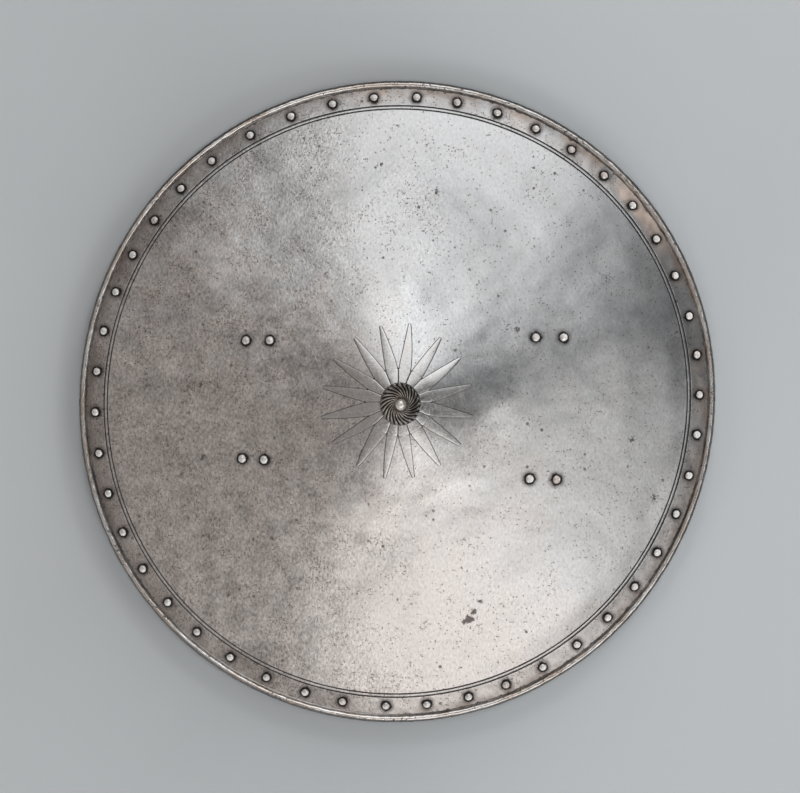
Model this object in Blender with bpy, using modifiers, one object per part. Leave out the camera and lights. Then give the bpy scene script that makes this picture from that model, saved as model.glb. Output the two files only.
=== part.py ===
"""A rondache: a round steel shield, slightly conical, lying face up on its rolled rim.

Lengths are in metres and +Z is up. The origin is on the ground, under the middle of the shield.
"""

import math

import bmesh
import bpy
from mathutils import Euler, Matrix, Vector

MM = 0.001
GAP = 0.3 * MM

# Plate, from the middle out
PLATE_THICKNESS = 1.5 * MM
CROWN_RISE = 63 * MM
CROWN_POWER = 1.25
BORDER_INNER_RADIUS = 269.0 * MM
BORDER_INNER_HEIGHT = 9.0 * MM
BORDER_OUTER_RADIUS = 283.0 * MM
BORDER_OUTER_HEIGHT = 4.8 * MM
CROWN_RING_RADII = [radius * MM for radius in (35, 95, 175)]
PLATE_SEGMENTS = 52

# Two lines incised just inside the border
LINE_RADII = (264.7 * MM, 267.7 * MM)
LINE_HALF_WIDTH = 0.7 * MM
LINE_DEPTH = 0.5 * MM

# Rim, rolled over and flattened a little where it stands
RIM_RADIUS = 291.1 * MM
ROLL_RADIUS = 3.6 * MM
ROLL_HEIGHT = 3.4 * MM
ROLL_ARC = [math.radians(angle) for angle in (150, 110, 70, 22, -28)]
ROLL_INNER_ARC = [math.radians(angle) for angle in (216, 190)]

# Waves that forging left in the outline: how many round the rim, how high, and where
RIM_WAVES = ((2, 2.0 * MM, 64), (3, 0.5 * MM, 25), (4, 0.5 * MM, 35))

# Shoulder of the rivets' domed heads, as a share of their height, and their peened ends inside
HEAD_SHOULDER = 0.8
PEEN_HEIGHT = 1.0 * MM
PEEN_FLAT_RATIO = 0.75
HOLE_CUTTER_LENGTH = 8 * MM

# Rivets that held the lining, evenly spaced but for two wider steps and a slow drift: how many
# times round, how far in degrees, and where. The strays are set off by hand, in degrees.
RIM_RIVETS = 46
RIM_RIVET_RADIUS = 275.5 * MM
RIM_RIVET_START = 1.1
RIM_RIVET_WIDE_AFTER = (15, 16)
RIM_RIVET_EXTRA_STEP = 0.92
RIM_RIVET_DRIFT = ((1, 0.29, -149), (3, 0.14, 7))
RIM_RIVET_STRAYS = {1: 0.2, 3: -0.3, 12: -0.2, 15: 0.3, 34: -0.5, 37: 0.3, 44: 0.4, 45: 0.3, 46: 0.4}

# Rivets that held the arm straps, in four pairs: middle, distance between the two, and tilt
STRAP_PAIRS = {
    "upper_left": (-125.1 * MM, 54.5 * MM, 21.6 * MM, 0),
    "upper_right": (137.2 * MM, 57.2 * MM, 25.2 * MM, 0),
    "lower_left": (-129.5 * MM, -52.3 * MM, 19.8 * MM, -2.6),
    "lower_right": (131.3 * MM, -70.3 * MM, 24.4 * MM, -2.0),
}

# Star washer
STAR_CENTRE = Vector((1.1 * MM, -1.0 * MM))
STAR_RAYS = 16
STAR_BORE = 7.6 * MM
STAR_NOTCH = 30.4 * MM
STAR_REACH = 69.4 * MM
STAR_TIP_HALF_WIDTH = 1.35 * MM
STAR_BULGE = 0.5 * MM
STAR_THICKNESS = 1.0 * MM

# Rows of points along a ray, from the notch on: share of the way to the tip, and height of the arch
STAR_ROWS = ((0, 0.4 * MM), (0.5, 0.35 * MM), (0.94, 0.25 * MM))
STAR_TIP_ARCH = 0.1 * MM
STAR_TIP_NARROWING = 0.6

# Rays cut a little askew: sideways bend at the tip in degrees, and extra length in millimetres
STAR_ASKEW = {
    0: (2, -2),
    1: (2, -1),
    2: (0.5, 0),
    3: (3, 2),
    4: (2, 1),
    5: (0.5, 0.5),
    8: (0, 1.5),
    9: (-2, 1),
    10: (1, -1),
    11: (1, 0.5),
    13: (-0.5, -1),
    14: (-1, -1),
    15: (0.5, -1),
}

# Button on the star, forged with spiral flutes round a plain knob
BUTTON_CENTRE = Vector((2.8 * MM, -2.7 * MM))
BUTTON_RADIUS = 18.9 * MM
BUTTON_OVAL = (0.98, 1.04)
BUTTON_HEIGHT = 21 * MM
BUTTON_FLUTES = 24
BUTTON_TWIST = math.radians(75)
BUTTON_LEAN = math.radians(2.5)
FLUTE_DEPTH = 1.0 * MM
FLUTE_DEPTH_AT_KNOB = 0.4 * MM
KNOB_RADIUS = 5.5 * MM
BUTTON_SHANK_RADIUS = 3.0 * MM
BUTTON_PEEN_RADIUS = 5.5 * MM
BUTTON_PEEN_HEIGHT = 1.5 * MM
BUTTON_HOLE_SIDES = 12

# Outer side of the knob, then of the fluted dome: share of its radius, and of the button's height
KNOB_SIDE = ((0.75, 0.94), (1, 0.8))
DOME_SIDE = ((0.6, 0.63), (0.87, 0.37), (1, 0.12), (0.93, 0))
FLUTES_START = 1.1 * KNOB_RADIUS
FLUTES_END = 0.05 * BUTTON_HEIGHT

STEEL_COLOUR = (0.42, 0.405, 0.395, 1)
RIVET_STEEL_COLOUR = (0.36, 0.335, 0.32, 1)
BUTTON_STEEL_COLOUR = (0.2, 0.175, 0.155, 1)


class RivetSizes:
    """Sizes of one kind of rivet: a head outside, a shank through the plate and a flat peened end."""

    def __init__(self, head_radius, head_height, crown_ratio, shank_radius, peen_radius, sides):
        self.head_radius = head_radius
        self.head_height = head_height
        self.crown_ratio = crown_ratio
        self.shank_radius = shank_radius
        self.peen_radius = peen_radius
        self.sides = sides

    def profile(self):
        """(radius, height) from the top of the head to the peened end; height 0 is the outer face."""
        peen_top = -PLATE_THICKNESS - 2 * GAP
        return [
            (0, GAP + self.head_height),
            (self.head_radius * self.crown_ratio, GAP + self.head_height * HEAD_SHOULDER),
            (self.head_radius, GAP),
            (self.shank_radius, GAP),
            (self.shank_radius, peen_top),
            (self.peen_radius, peen_top),
            (self.peen_radius * PEEN_FLAT_RATIO, peen_top - PEEN_HEIGHT),
            (0, peen_top - PEEN_HEIGHT),
        ]

    def hole_radius(self):
        return (self.shank_radius + GAP) / math.cos(math.pi / self.sides)


RIM_RIVET = RivetSizes(3.8 * MM, 2.3 * MM, 0.8, 1.5 * MM, 2.6 * MM, 6)
STRAP_RIVET = RivetSizes(4.1 * MM, 1.9 * MM, 0.78, 1.8 * MM, 3.6 * MM, 8)


def unevenness(angle):
    """How much wider than a true circle the shield is at an angle, as a ratio."""
    waves = (
        size / RIM_RADIUS * math.cos(count * (angle - math.radians(bearing)))
        for count, size, bearing in RIM_WAVES
    )
    return sum(waves)


def face_height(radius):
    """Height of the outer face, without its incised lines, at a distance from the middle."""
    if radius < BORDER_INNER_RADIUS:
        crown = 1 - (radius / BORDER_INNER_RADIUS) ** CROWN_POWER
        return BORDER_INNER_HEIGHT + CROWN_RISE * crown
    across = (radius - BORDER_INNER_RADIUS) / (BORDER_OUTER_RADIUS - BORDER_INNER_RADIUS)
    return BORDER_INNER_HEIGHT + across * (BORDER_OUTER_HEIGHT - BORDER_INNER_HEIGHT)


def height_at(x, y):
    """Height of the outer face above a point of the ground, with the uneven outline."""
    return face_height(math.hypot(x, y) / (1 + unevenness(math.atan2(y, x))))


def face_matrix(x, y):
    """Place on the outer face above (x, y), with Z along the face's normal."""
    step = 0.5 * MM
    radius = max(math.hypot(x, y), step)
    fall = (face_height(radius - step) - face_height(radius + step)) / (2 * step)
    normal = Vector((x / radius * fall, y / radius * fall, 1))
    turn = normal.to_track_quat("Z", "Y").to_matrix().to_4x4()
    return Matrix.Translation((x, y, height_at(x, y))) @ turn


def steel(name, colour, roughness):
    """A plain Principled steel."""
    material = bpy.data.materials.new(name)
    material.use_nodes = True
    shader = material.node_tree.nodes["Principled BSDF"]
    shader.inputs["Base Color"].default_value = colour
    shader.inputs["Roughness"].default_value = roughness
    shader.inputs["Metallic"].default_value = 1
    return material


def add_object(name, mesh, collection, material=None):
    obj = bpy.data.objects.new(name, mesh)
    collection.objects.link(obj)
    if material:
        mesh.materials.append(material)
    return obj


def turned(name, profile, sides, collection, material=None):
    """An object turned about Z from (radius, height) points, listed from the top down its outer side."""
    mesh = bpy.data.meshes.new(name)
    points = [(radius, 0, height) for radius, height in profile]
    mesh.from_pydata(points, [(i, i + 1) for i in range(len(points) - 1)], [])
    obj = add_object(name, mesh, collection, material)
    screw = obj.modifiers.new("Turn", "SCREW")
    screw.steps = sides
    screw.render_steps = sides
    screw.use_merge_vertices = True
    screw.merge_threshold = 0.01 * MM
    return obj


def applied_mesh(obj):
    """The object's mesh with its modifiers applied, so that its points can be moved."""
    bpy.context.view_layer.update()
    evaluated = obj.evaluated_get(bpy.context.evaluated_depsgraph_get())
    return bpy.data.meshes.new_from_object(evaluated)


def apply_modifiers(obj):
    obj.data = applied_mesh(obj)
    obj.modifiers.clear()


def line_profile(radius):
    """One V-shaped incised line across the outer face."""
    return [
        (radius - LINE_HALF_WIDTH, face_height(radius - LINE_HALF_WIDTH)),
        (radius, face_height(radius) - LINE_DEPTH),
        (radius + LINE_HALF_WIDTH, face_height(radius + LINE_HALF_WIDTH)),
    ]


def plate_profile():
    """Outer face from the middle to the roll, round the roll, and back along the inner face."""
    middle = RIM_RADIUS - ROLL_RADIUS
    foot = math.sqrt(ROLL_RADIUS**2 - ROLL_HEIGHT**2)

    def on_roll(angle):
        return middle + ROLL_RADIUS * math.cos(angle), ROLL_HEIGHT + ROLL_RADIUS * math.sin(angle)

    outer = [(0, face_height(0))]
    outer += [(radius, face_height(radius)) for radius in CROWN_RING_RADII]
    for radius in LINE_RADII:
        outer += line_profile(radius)
    outer.append((BORDER_OUTER_RADIUS, BORDER_OUTER_HEIGHT))
    roll = [on_roll(angle) for angle in ROLL_ARC]
    roll += [(middle + foot, 0), (middle - foot, 0)]
    roll += [on_roll(angle) for angle in ROLL_INNER_ARC]
    inner = [(BORDER_INNER_RADIUS, BORDER_INNER_HEIGHT)]
    inner += [(radius, face_height(radius)) for radius in reversed(CROWN_RING_RADII)]
    inner.append((0, face_height(0)))
    return outer + roll + [(radius, height - PLATE_THICKNESS) for radius, height in inner]


def rim_rivet_places():
    """Ground points of the rim rivets, counter-clockwise from the right."""
    step = (360 - RIM_RIVET_EXTRA_STEP * len(RIM_RIVET_WIDE_AFTER)) / RIM_RIVETS
    places = []
    for index in range(RIM_RIVETS):
        wide_steps = sum(index >= after for after in RIM_RIVET_WIDE_AFTER)
        degrees = RIM_RIVET_START + index * step + wide_steps * RIM_RIVET_EXTRA_STEP
        for count, size, bearing in RIM_RIVET_DRIFT:
            degrees += size * math.cos(count * math.radians(degrees - bearing))
        angle = math.radians(degrees + RIM_RIVET_STRAYS.get(index + 1, 0))
        radius = RIM_RIVET_RADIUS * (1 + unevenness(angle))
        places.append((radius * math.cos(angle), radius * math.sin(angle)))
    return places


def strap_rivet_places():
    """Ground points of the strap rivets by name."""
    places = {}
    for pair, (x, y, apart, tilt) in STRAP_PAIRS.items():
        half = Vector((apart / 2, 0)).to_3d()
        half.rotate(Euler((0, 0, math.radians(tilt))))
        places[pair + "_1"] = (x - half.x, y - half.y)
        places[pair + "_2"] = (x + half.x, y + half.y)
    return places


def hole_cutter(collection):
    """One mesh of prisms, longer than the plate is thick, for every rivet and for the button."""
    bm = bmesh.new()

    def add_prism(place, radius, sides):
        bmesh.ops.create_cone(
            bm,
            cap_ends=True,
            segments=sides,
            radius1=radius,
            radius2=radius,
            depth=HOLE_CUTTER_LENGTH,
            matrix=place,
        )

    for x, y in rim_rivet_places():
        add_prism(face_matrix(x, y), RIM_RIVET.hole_radius(), RIM_RIVET.sides)
    for x, y in strap_rivet_places().values():
        add_prism(face_matrix(x, y), STRAP_RIVET.hole_radius(), STRAP_RIVET.sides)
    button_place = Matrix.Translation((*BUTTON_CENTRE, height_at(*BUTTON_CENTRE)))
    add_prism(button_place, BUTTON_SHANK_RADIUS + 2 * GAP, BUTTON_HOLE_SIDES)

    mesh = bpy.data.meshes.new("rivet_hole_cutter")
    bm.to_mesh(mesh)
    bm.free()
    cutter = add_object("rivet_hole_cutter", mesh, collection)
    cutter.hide_render = True
    cutter.display_type = "WIRE"
    return cutter


def shield_plate(collection, cutter):
    """The plate with its rolled rim, pulled a little out of round and pierced for the rivets."""
    material = steel("shield_steel", STEEL_COLOUR, 0.42)
    plate = turned("shield_plate", plate_profile(), PLATE_SEGMENTS, collection, material)
    apply_modifiers(plate)
    for vertex in plate.data.vertices:
        grown = 1 + unevenness(math.atan2(vertex.co.y, vertex.co.x))
        vertex.co.x *= grown
        vertex.co.y *= grown
    holes = plate.modifiers.new("Rivet holes", "BOOLEAN")
    holes.operation = "DIFFERENCE"
    holes.solver = "EXACT"
    holes.object = cutter
    return plate


def ray_half_width(along):
    """Half the width of a star's ray, with along running from 0 at the notch to 1 at the tip."""
    notch_half_width = STAR_NOTCH * math.sin(math.pi / STAR_RAYS)
    taper = notch_half_width + along * (STAR_TIP_HALF_WIDTH - notch_half_width)
    return taper + STAR_BULGE * math.sin(math.pi * along)


def ray_rows(reach):
    """(distance, share of the way to the tip, half width, arch) of each row of a ray, from the bore."""
    half_turn = math.pi / STAR_RAYS
    start = STAR_NOTCH * math.cos(half_turn)
    bore = STAR_BORE * math.cos(half_turn)
    rows = [(bore, 0, STAR_BORE * math.sin(half_turn), 0)]
    for along, arch in STAR_ROWS:
        rows.append((start + along * (reach - start), along, ray_half_width(along), arch))
    rows.append((reach, 1, STAR_TIP_NARROWING * STAR_TIP_HALF_WIDTH, STAR_TIP_ARCH))
    return rows


def star_washer(collection):
    """Sheet-metal star on the plate: rays arched along their middles, joined inside the notches."""
    bm = bmesh.new()
    for ray in range(STAR_RAYS):
        middle = (ray + 0.5) * math.tau / STAR_RAYS
        bend, extra_length = STAR_ASKEW.get(ray, (0, 0))
        rows = []
        for distance, along, half_width, arch in ray_rows(STAR_REACH + extra_length * MM):
            turn = Matrix.Rotation(middle + along * math.radians(bend), 2)
            row = []
            for across, raised in ((-half_width, 0), (0, arch), (half_width, 0)):
                x, y = turn @ Vector((distance, across)) + STAR_CENTRE
                row.append(bm.verts.new((x, y, height_at(x, y) + GAP + raised)))
            rows.append(row)
        for near, far in zip(rows, rows[1:]):
            for side in (0, 1):
                bm.faces.new((near[side], far[side], far[side + 1], near[side + 1]))
    bmesh.ops.remove_doubles(bm, verts=bm.verts, dist=0.01 * MM)
    mesh = bpy.data.meshes.new("star_washer")
    bm.to_mesh(mesh)
    bm.free()
    star = add_object("star_washer", mesh, collection, steel("star_steel", STEEL_COLOUR, 0.35))
    shell = star.modifiers.new("Sheet thickness", "SOLIDIFY")
    shell.thickness = STAR_THICKNESS
    shell.offset = 1
    return star


def button_profile():
    """(radius, height) above the underside's edge, from the knob down to the peened end of the shank."""
    seat = height_at(*BUTTON_CENTRE) + STAR_THICKNESS + 2 * GAP - button_base_height()
    peen_reach = BUTTON_CENTRE.length + BUTTON_PEEN_RADIUS
    peen_top = face_height(peen_reach) - PLATE_THICKNESS - 2 * GAP - button_base_height()
    knob = [(KNOB_RADIUS * out, BUTTON_HEIGHT * up) for out, up in KNOB_SIDE]
    dome = [(BUTTON_RADIUS * out, BUTTON_HEIGHT * up) for out, up in DOME_SIDE]
    shank = [
        (BUTTON_SHANK_RADIUS, seat),
        (BUTTON_SHANK_RADIUS, peen_top),
        (BUTTON_PEEN_RADIUS, peen_top),
        (BUTTON_PEEN_RADIUS * PEEN_FLAT_RATIO, peen_top - BUTTON_PEEN_HEIGHT),
        (0, peen_top - BUTTON_PEEN_HEIGHT),
    ]
    return [(0, BUTTON_HEIGHT)] + knob + dome + shank


def button_base_height():
    """Height of the middle of the button's lower edge, which just clears the star where it leans out."""
    furthest = BUTTON_RADIUS * max(BUTTON_OVAL) + (BUTTON_CENTRE - STAR_CENTRE).length
    star_top = face_height(furthest) + GAP + STAR_THICKNESS + STAR_ROWS[0][1]
    return star_top + GAP + BUTTON_RADIUS * max(BUTTON_OVAL) * math.sin(BUTTON_LEAN)


def boss_button(collection):
    """The button: turned, then twisted and fluted below the knob, and a little oval."""
    material = steel("button_steel", BUTTON_STEEL_COLOUR, 0.45)
    button = turned("boss_button", button_profile(), 2 * BUTTON_FLUTES, collection, material)
    apply_modifiers(button)
    for vertex in button.data.vertices:
        radius = math.hypot(vertex.co.x, vertex.co.y)
        angle = math.atan2(vertex.co.y, vertex.co.x)
        if radius > FLUTES_START and vertex.co.z > FLUTES_END:
            outward = (radius - FLUTES_START) / (BUTTON_RADIUS - FLUTES_START)
            hollow = 0.5 - 0.5 * math.cos(BUTTON_FLUTES * angle)
            radius -= hollow * (FLUTE_DEPTH_AT_KNOB + outward * (FLUTE_DEPTH - FLUTE_DEPTH_AT_KNOB))
            angle -= BUTTON_TWIST * (1 - math.sqrt(outward))
        if vertex.co.z > FLUTES_END / 2:
            vertex.co.x = radius * math.cos(angle) * BUTTON_OVAL[0]
            vertex.co.y = radius * math.sin(angle) * BUTTON_OVAL[1]
    lean_axis = (BUTTON_CENTRE - STAR_CENTRE).orthogonal().to_3d()
    lean = Matrix.Rotation(BUTTON_LEAN, 4, lean_axis)
    button.matrix_world = Matrix.Translation((*BUTTON_CENTRE, button_base_height())) @ lean
    return button


def rivets(collection):
    """Every rivet, each its own object, set along the plate's normal; one kind shares one mesh."""
    material = steel("rivet_steel", RIVET_STEEL_COLOUR, 0.35)
    rim_names = {f"rim_rivet_{i + 1:02d}": place for i, place in enumerate(rim_rivet_places())}
    strap_names = {"strap_rivet_" + name: place for name, place in strap_rivet_places().items()}
    for sizes, places in ((RIM_RIVET, rim_names), (STRAP_RIVET, strap_names)):
        pattern = turned("rivet_pattern", sizes.profile(), sizes.sides, collection, material)
        mesh = applied_mesh(pattern)
        bpy.data.objects.remove(pattern)
        for name, (x, y) in places.items():
            rivet = add_object(name, mesh, collection)
            rivet.matrix_world = face_matrix(x, y)


def new_collection(name):
    collection = bpy.data.collections.new(name)
    bpy.context.scene.collection.children.link(collection)
    return collection


def main():
    for obj in list(bpy.data.objects):
        bpy.data.objects.remove(obj)
    parts = new_collection("rondache")
    cutters = new_collection("rondache_cutters")
    shield_plate(parts, hole_cutter(cutters))
    star_washer(parts)
    boss_button(parts)
    rivets(parts)


main()
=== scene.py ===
"""The looks of the rondache: an old steel shield, lying face up on a pale studio floor.

Lengths are in metres, +Z is up, and the shield's shape repeats the named dimensions of its solids.
"""

import math

import bpy
import numpy as np
from mathutils import Matrix, Vector


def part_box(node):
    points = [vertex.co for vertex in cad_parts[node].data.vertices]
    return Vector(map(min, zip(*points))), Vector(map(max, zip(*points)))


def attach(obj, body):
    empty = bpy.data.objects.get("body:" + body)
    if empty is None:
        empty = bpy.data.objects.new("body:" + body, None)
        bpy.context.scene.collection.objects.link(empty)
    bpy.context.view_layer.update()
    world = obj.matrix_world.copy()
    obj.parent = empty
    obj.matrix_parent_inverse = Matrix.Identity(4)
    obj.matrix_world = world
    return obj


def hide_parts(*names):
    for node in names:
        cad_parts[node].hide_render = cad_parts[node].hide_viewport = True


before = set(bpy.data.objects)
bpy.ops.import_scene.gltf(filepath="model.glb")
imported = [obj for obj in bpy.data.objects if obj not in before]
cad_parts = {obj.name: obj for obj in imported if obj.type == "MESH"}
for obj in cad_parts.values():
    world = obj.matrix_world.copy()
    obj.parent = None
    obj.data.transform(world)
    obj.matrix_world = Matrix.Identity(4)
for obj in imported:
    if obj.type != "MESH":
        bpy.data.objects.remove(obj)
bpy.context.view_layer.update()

MM = 0.001

# Gap between the plate and what lies on it, and how far the rim stays within its solid
GAP = 0.3 * MM
CLEARANCE = 0.35 * MM

# Plate
PLATE_THICKNESS = 1.5 * MM
CROWN_RISE = 63 * MM
CROWN_POWER = 1.25
BORDER_INNER_RADIUS = 269.0 * MM
BORDER_INNER_HEIGHT = 9.0 * MM
BORDER_OUTER_RADIUS = 283.0 * MM
BORDER_OUTER_HEIGHT = 4.8 * MM
LINE_RADII = (264.7 * MM, 267.7 * MM)
LINE_HALF_WIDTH = 0.6 * MM
LINE_DEPTH = 0.5 * MM

# Shallow swells and dents that the hammer left in the plate: middle, width and height, all in
# millimetres. They fade out towards the border, between two distances from the middle.
DENTS = (
    (175, 50, 50, 2.6), (-75, -230, 42, 1.5), (-45, 150, 40, 2.1), (75, 205, 50, -2.6),
    (-185, 120, 45, 2.6), (155, -165, 50, 2.6), (40, 150, 26, 1.8), (-15, -145, 26, -1.0),
    (220, 65, 39, 2.6), (4, 87, 27, 2.3), (10, 100, 12, 1.2), (0, -47, 41, -2.6),
    (4, -40, 22, 0.7), (87, -6, 12, 0.6),
)
DENTS_FADE = (283 * MM, 245 * MM)

# Rolled rim, and the waves of its outline: how many round it, how high, and where
RIM_RADIUS = 291.1 * MM - CLEARANCE
ROLL_RADIUS = 3.4 * MM
ROLL_MIDDLE = RIM_RADIUS - ROLL_RADIUS
ROLL_HEIGHT = 3.4 * MM
ROLL_WEAR = 0.16 * MM
RIM_WAVES = ((2, 2.0 * MM, 64), (3, 0.5 * MM, 25), (4, 0.5 * MM, 35))

# Star washer
STAR_CENTRE = Vector((1.1 * MM, -1.0 * MM))
STAR_RAYS = 16
STAR_BORE = 7.6 * MM
STAR_JOINED_TO = 16 * MM
STAR_NOTCH = 30.4 * MM
STAR_REACH = 69.3 * MM
STAR_TIP_HALF_WIDTH = 1.35 * MM
STAR_TIP_ROUNDING = 1.9 * MM
STAR_BULGE = 0.5 * MM
STAR_ARCH = 0.12 * MM
STAR_WORN_EDGE = 0.04 * MM
STAR_CUT_EDGE = 0.10 * MM
STAR_THICKNESS = 1.0 * MM
STAR_SLIT = 0.13 * MM
STAR_SLIT_FADE = 4 * MM
STAR_NOTCH_HOLE = 0.75 * MM

# Rays cut a little askew: sideways bend at the tip in degrees, and extra length in millimetres
STAR_ASKEW = {
    0: (2, -2), 1: (2, -1), 2: (0.5, 0), 3: (3, 2), 4: (2, 1), 5: (0.5, 0.5), 8: (0, 1.5),
    9: (-2, 1), 10: (1, -1), 11: (1, 0.5), 13: (-0.5, -1), 14: (-1, -1), 15: (0.5, -1),
}

# Rays that lie turned a little about their length, and the random spread of all, in radians
RAY_TILTS = {1: -0.035, 14: -0.01, 15: -0.03}
RAY_TILT_SPREAD = 0.012

# Slits that were cut off their true bearing, in degrees
SLITS_ASKEW = {1: -1, 6: 1, 9: 2.5, 10: -1.5, 11: 2, 12: -1, 13: -2.5, 15: -2}

# Button. Its top stays a little under its solid's, and its underside is a little above its edge.
BUTTON_CENTRE = Vector((2.8 * MM, -2.7 * MM))
BUTTON_RADIUS = 18.85 * MM
BUTTON_HEIGHT = 20.9 * MM
BUTTON_FLUTES = 24
BUTTON_TWIST = math.radians(75)
BUTTON_LEAN = math.radians(2.5)
BUTTON_TOP_CLEARANCE = 0.4 * MM
BUTTON_UNDERSIDE = 0.5 * MM
FLUTE_DEPTH = 2.3 * MM
BUTTON_OVAL = (0.98, 1.035)
KNOB_RADIUS = 5.0 * MM
SHANK_RADIUS = 3 * MM

# Rivets: radius and height of a head, how far its crown falls and its underside sinks in, and the
# peened ends inside
RIM_HEAD = (3.7 * MM, 2.2 * MM)
STRAP_HEAD = (4.1 * MM, 1.85 * MM)
CROWN_FALL = 1.25 * MM
HEAD_SUNK = 0.2 * MM
PEEN_RADII = {"rim": 2.6 * MM, "strap": 3.6 * MM}
PEEN_HEIGHT = 1.0 * MM
PEEN_GAP = 0.1 * MM
RIVET_POINTS = 28

# Camera: its place, all but straight above the middle, and the width that it sees at the rim
CAMERA_PLACE = Vector((2.58 * MM, 4.06 * MM, 4.0))
FRAME_WIDTH = 0.7272


def rivet_axis(name):
    """Ground point of a rivet, from its solid's box."""
    low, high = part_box(name)
    return (low.x + high.x) / 2, (low.y + high.y) / 2


RIVET_AXES = {name: rivet_axis(name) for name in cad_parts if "rivet" in name}


def unevenness(angle):
    """How much wider than a true circle the shield is at an angle, as a ratio."""
    waves = [
        size / RIM_RADIUS * np.cos(count * (angle - math.radians(bearing)))
        for count, size, bearing in RIM_WAVES
    ]
    return sum(waves)


def outline_at(radius, angles):
    """Ground points at angles of the outline, drawn in to a radius."""
    grown = radius * (1 + unevenness(angles))
    return np.stack([grown * np.cos(angles), grown * np.sin(angles)], 1)


def face_height(radius):
    """Height of the outer face, without its incised lines, at a distance from the middle."""
    radius = np.asarray(radius, float)
    crown = 1 - (np.minimum(radius, BORDER_INNER_RADIUS) / BORDER_INNER_RADIUS) ** CROWN_POWER
    across = (radius - BORDER_INNER_RADIUS) / (BORDER_OUTER_RADIUS - BORDER_INNER_RADIUS)
    fall = np.maximum(across, 0) * (BORDER_INNER_HEIGHT - BORDER_OUTER_HEIGHT)
    return BORDER_INNER_HEIGHT + CROWN_RISE * crown - fall


def dents(x, y):
    """Height that the plate's swells and dents add above points of the ground."""
    total = 0
    for middle_x, middle_y, width, height in DENTS:
        away = (x - middle_x * MM) ** 2 + (y - middle_y * MM) ** 2
        total = total + height * MM * np.exp(-away / (2 * (width * MM) ** 2))
    return total * smooth_step(np.hypot(x, y), *DENTS_FADE)


def height_at(x, y):
    """Height of the outer face above points of the ground, with its outline and dents."""
    return face_height(np.hypot(x, y) / (1 + unevenness(np.arctan2(y, x)))) + dents(x, y)


def face_matrix(x, y):
    """Place on the outer face above (x, y), with Z along the face's normal."""
    step = 0.5 * MM
    fall_x = (height_at(x - step, y) - height_at(x + step, y)) / (2 * step)
    fall_y = (height_at(x, y - step) - height_at(x, y + step)) / (2 * step)
    turn = Vector((fall_x, fall_y, 1)).to_track_quat("Z", "Y").to_matrix().to_4x4()
    return Matrix.Translation((x, y, float(height_at(x, y)))) @ turn


def ripples(points, wavelength, seed, count=40):
    """Smooth random relief of about unit height over (..., 2 or 3) points, from summed waves."""
    rng = np.random.default_rng(seed)
    points = np.asarray(points, float)
    total = np.zeros(points.shape[:-1])
    for _ in range(count):
        direction = rng.normal(size=points.shape[-1])
        direction /= np.linalg.norm(direction)
        length = wavelength * rng.uniform(0.7, 1.6)
        total += np.cos(points @ direction * math.tau / length + rng.uniform(0, math.tau))
    return total * math.sqrt(2 / count)


def smooth_step(value, low, high):
    share = np.clip((np.asarray(value, float) - low) / (high - low), 0, 1)
    return share * share * (3 - 2 * share)


def new_object(name, points, faces, materials, material_of_face=None):
    """A mesh object with every material slot filled, shaded smooth."""
    mesh = bpy.data.meshes.new(name)
    mesh.from_pydata([tuple(point) for point in points], [], faces)
    for material in materials:
        mesh.materials.append(material)
    if material_of_face is not None:
        mesh.polygons.foreach_set("material_index", material_of_face)
    mesh.polygons.foreach_set("use_smooth", [True] * len(mesh.polygons))
    mesh.update()
    obj = bpy.data.objects.new(name, mesh)
    bpy.context.scene.collection.objects.link(obj)
    return obj


def set_attribute(obj, name, values):
    attribute = obj.data.attributes.new(name, "FLOAT", "POINT")
    attribute.data.foreach_set("value", np.asarray(values, np.float32).ravel())


def stand_for(obj, node):
    """The piece moves with the shield and stands for a node, whose solid it hides."""
    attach(obj, "root")
    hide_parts(node)


# ------------------------------------------------------------------ materials


class Nodes:
    """A node tree, built up from short calls that each add a node."""

    def __init__(self, tree, coordinates):
        self.tree = tree
        self.point = tree.nodes.new("ShaderNodeTexCoord").outputs[coordinates]

    def feed(self, socket, value):
        """Links a node's output to a socket, or sets the socket to a plain value."""
        if isinstance(value, bpy.types.NodeSocket):
            self.tree.links.new(value, socket)
        else:
            socket.default_value = value

    def node(self, kind, *sockets, **settings):
        node = self.tree.nodes.new(kind)
        for key, value in settings.items():
            setattr(node, key, value)
        for key, value in sockets:
            self.feed(node.inputs[key], value)
        return node

    def math(self, operation, *values):
        return self.node("ShaderNodeMath", *enumerate(values), operation=operation).outputs[0]

    def times(self, first, second):
        return self.math("MULTIPLY", first, second)

    def scaled(self, value, factor, offset):
        """value * factor + offset."""
        return self.math("MULTIPLY_ADD", value, factor, offset)

    def larger(self, first, second):
        return self.math("MAXIMUM", first, second)

    def ramp(self, value, low, high, out_low=0.0, out_high=1.0):
        """The value carried smoothly from low..high to out_low..out_high, and held outside."""
        node = self.node("ShaderNodeMapRange", *enumerate((value, low, high, out_low, out_high)))
        node.interpolation_type = "SMOOTHSTEP"
        return node.outputs[0]

    def mix(self, factor, first, second, blend="MIX"):
        node = self.node("ShaderNodeMix", data_type="RGBA", blend_type=blend)
        for index, value in ((0, factor), (6, first), (7, second)):
            self.feed(node.inputs[index], value)
        return node.outputs[2]

    def shaded(self, colour, level):
        """The colour made lighter or darker by a factor."""
        grey = self.node("ShaderNodeCombineColor", (0, level), (1, level), (2, level))
        return self.mix(1.0, colour, grey.outputs[0], "MULTIPLY")

    def coordinate(self, axis):
        return self.node("ShaderNodeSeparateXYZ", ("Vector", self.point)).outputs[axis]


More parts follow.
